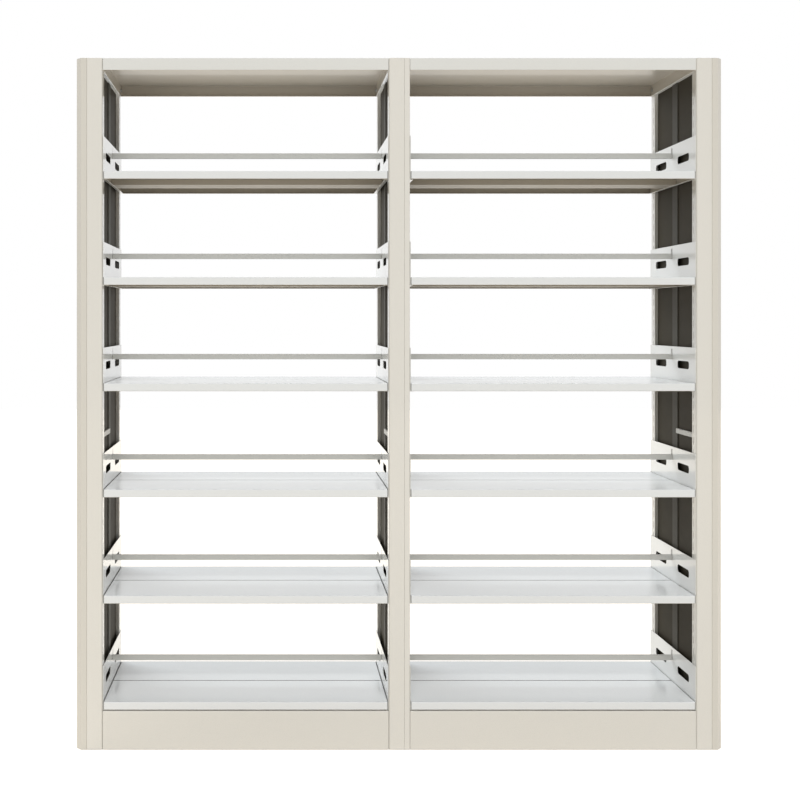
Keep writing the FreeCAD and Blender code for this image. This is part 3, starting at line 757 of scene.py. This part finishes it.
def slotted_skin(tree, wide, low, high, bay_corner, open_back):
    """One post's outer skin, its faces outwards."""
    mesh = run_tree(
        tree,
        {
            "Wide": wide,
            "Deep": POST_DEPTH,
            "Low": low,
            "High": high,
            "Bay Corner": bay_corner,
            "Fold": FOLD_RADIUS,
            "Slot Wide": SLOT_WIDE,
            "Slot Tall": SLOT_TALL,
            "Slot Pitch": SLOT_PITCH,
            "Slot Setback": SLOT_SETBACK,
            "Slot First": SLOT_FIRST,
            "Slot Count": SLOT_COUNT,
            "Open Back": int(open_back),
            "Finish": FINISHES["frame_paint"],
        },
    )
    skin = bmesh.new()
    skin.from_mesh(mesh)
    loose = [edge for edge in skin.edges if not edge.link_faces]
    bmesh.ops.delete(skin, geom=loose, context="EDGES")
    bmesh.ops.recalc_face_normals(skin, faces=skin.faces)
    middle = Vector((wide / 2, POST_DEPTH / 2, 0))
    level = Vector((1, 1, 0))
    outward = sum(
        face.normal.dot((face.calc_center_median() - middle) * level) * face.calc_area()
        for face in skin.faces
    )
    if outward < 0:
        bmesh.ops.reverse_faces(skin, faces=skin.faces)
    skin.to_mesh(mesh)
    skin.free()
    return mesh


def show_uprights():
    """Posts and joining channels, front and rear."""
    tree = slotted_post_tree()
    low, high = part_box("posts_left")
    post_wide = box_middle("posts_left")[1].x
    channel_wide = box_middle("joining_channels")[1].x
    post = slotted_skin(tree, post_wide, low.z, high.z, BAY_CORNER, open_back=False)
    channel = slotted_skin(tree, channel_wide, low.z, high.z, FOLD_RADIUS, open_back=True)
    left_sided = {"posts_left": post, "joining_channels": channel}
    right_sided = {"posts_middle": post, "posts_right": post}
    for turned, group in ((1, left_sided), (-1, right_sided)):
        for name, skin in group.items():
            near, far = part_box(name)
            start = near.x if turned > 0 else far.x
            matrices = [
                Matrix.Translation((start, side * near.y, 0)) @ Matrix.Diagonal((turned, side, 1, 1))
                for side in (1, -1)
            ]
            show(name, thickened(joined([skin, skin], matrices), POST_WALL))


# ---------------------------------------------------------------- pieces that keep the frame's shape

def eased_copy(node, ease):
    """A copy of a node's mesh with its facets merged and its edges eased."""
    work = bmesh.new()
    work.from_mesh(frame["nodes"][node].data)
    bmesh.ops.remove_doubles(work, verts=work.verts, dist=FACET_WELD)
    bmesh.ops.dissolve_limit(work, angle_limit=FLAT_TURN, verts=work.verts, edges=work.edges)
    mesh = mesh_from(work)
    smooth(mesh)
    piece = mesh_object("copy", mesh)
    add_modifier(
        piece,
        "BEVEL",
        width=ease,
        segments=EASED_SEGMENTS,
        limit_method="ANGLE",
        angle_limit=EASED_TURN,
    )
    add_modifier(piece, "WEIGHTED_NORMAL", keep_sharp=True)
    return baked(piece)


def show_repeated(start, ease, finish=None):
    """The same eased mesh at every node of a kind."""
    names = nodes_called(start)
    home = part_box(names[0])[0]
    model = eased_copy(names[0], ease)
    for name in names:
        mesh = model.copy()
        mesh.transform(Matrix.Translation(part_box(name)[0] - home))
        show(name, mesh, finish)


def show_eased():
    """Hang plates, bars, feet, end panels, and what closes and ties the frames."""
    show_repeated("hang_plates_", 0.35 * MM, PLATE_LIT_FINISH)
    show_repeated("divider_bar_", 0.35 * MM)
    for frame_place in ("left", "middle", "right"):
        show_repeated("foot_" + frame_place, 0.5 * MM)
    for name in ("end_panel_left", "end_panel_right"):
        show(name, eased_copy(name, 1.0 * MM), PANEL_SHADED_FINISH)
    for name, ease in (
        ("infill_left", 0.4 * MM),
        ("infill_middle", 0.4 * MM),
        ("infill_right", 0.4 * MM),
        ("centre_struts", 0.5 * MM),
        ("side_ties", 0.8 * MM),
        ("frame_rails", 1.0 * MM),
        ("frame_bolts", 0.3 * MM),
        ("foot_nut_plates", 0.3 * MM),
    ):
        show(name, eased_copy(name, ease))


show_boards()
show_covers()
show_kick_plates()
show_uprights()
show_eased()


# ---------------------------------------------------------------- floor, light and camera

def seen_itself(graph):
    """1 where a surface shows as such: to the camera, in gloss and through glass."""
    path = graph.node("ShaderNodeLightPath")
    return path.also("Is Camera Ray") + path.also("Is Glossy Ray") + path.also("Is Transmission Ray")


def pale_floor(half):
    """A pale floor that reads as the backdrop's white where no shadow falls."""
    material, graph, place = new_finish("pale_floor")
    flecks = graph.noise(place, FLOOR_FLECKS, detail=3.0)
    matt = graph.node("ShaderNodeBsdfDiffuse", inputs={"Color": graph.mix(flecks, *FLOOR_TONES)})
    glow = graph.mix(seen_itself(graph), BLACK, FLOOR_LIFT)
    lift = graph.node("ShaderNodeEmission", inputs={"Color": glow, "Strength": 1.0})
    close_finish(graph, graph.node("ShaderNodeAddShader", inputs={0: matt, 1: lift}))
    corners = [(-half, -half, 0), (half, -half, 0), (half, half, 0), (-half, half, 0)]
    mesh = bpy.data.meshes.new("floor")
    mesh.from_pydata(corners, [], [(0, 1, 2, 3)])
    mesh.materials.append(material)
    mesh_object("floor", mesh)


def white_surroundings(daylight):
    """White behind the object and in its reflections, softer light for everything else."""
    world = bpy.data.worlds.new("surroundings")
    world.use_nodes = True
    world.node_tree.nodes.clear()
    graph = Graph(world.node_tree)
    seen = seen_itself(graph)
    strength = daylight + seen * (1 - daylight)
    tint = graph.mix(seen, DAYLIGHT_TINT, WHITE)
    background = graph.node("ShaderNodeBackground", inputs={"Color": tint, "Strength": strength})
    graph.node("ShaderNodeOutputWorld", inputs={"Surface": background})
    bpy.context.scene.world = world


def broad_light(name, around, height, spread, strength, colour):
    """Even light from one side: degrees round from the front, degrees up, and degrees of softness."""
    lamp = bpy.data.lights.new(name, "SUN")
    lamp.angle = math.radians(spread)
    lamp.energy = strength
    lamp.color = colour
    stand = bpy.data.objects.new(name, lamp)
    stand.rotation_euler = (math.radians(90 - height), 0, math.radians(around))
    stand.visible_glossy = False
    bpy.context.scene.collection.objects.link(stand)


def set_camera():
    """Level camera in front of the left bay, its lens shifted onto the whole object."""
    view = bpy.data.cameras.new("camera")
    view.sensor_width = 36.0
    view.lens = 53.12
    view.shift_x = 0.1581
    view.shift_y = -0.1003
    camera = bpy.data.objects.new("camera", view)
    camera.location = (-0.40, -3.975, 1.368)
    camera.rotation_euler = (math.pi / 2, 0, 0)
    bpy.context.scene.collection.objects.link(camera)
    bpy.context.scene.camera = camera


pale_floor(half=14.0)
white_surroundings(daylight=0.42)
broad_light("front_light", around=0, height=39, spread=35, strength=1.84, colour=(1.0, 0.985, 0.965))
broad_light("rear_light", around=-140, height=32, spread=45, strength=2.0, colour=(0.93, 0.97, 1.0))
set_camera()
bpy.context.scene.view_settings.view_transform = "Standard"
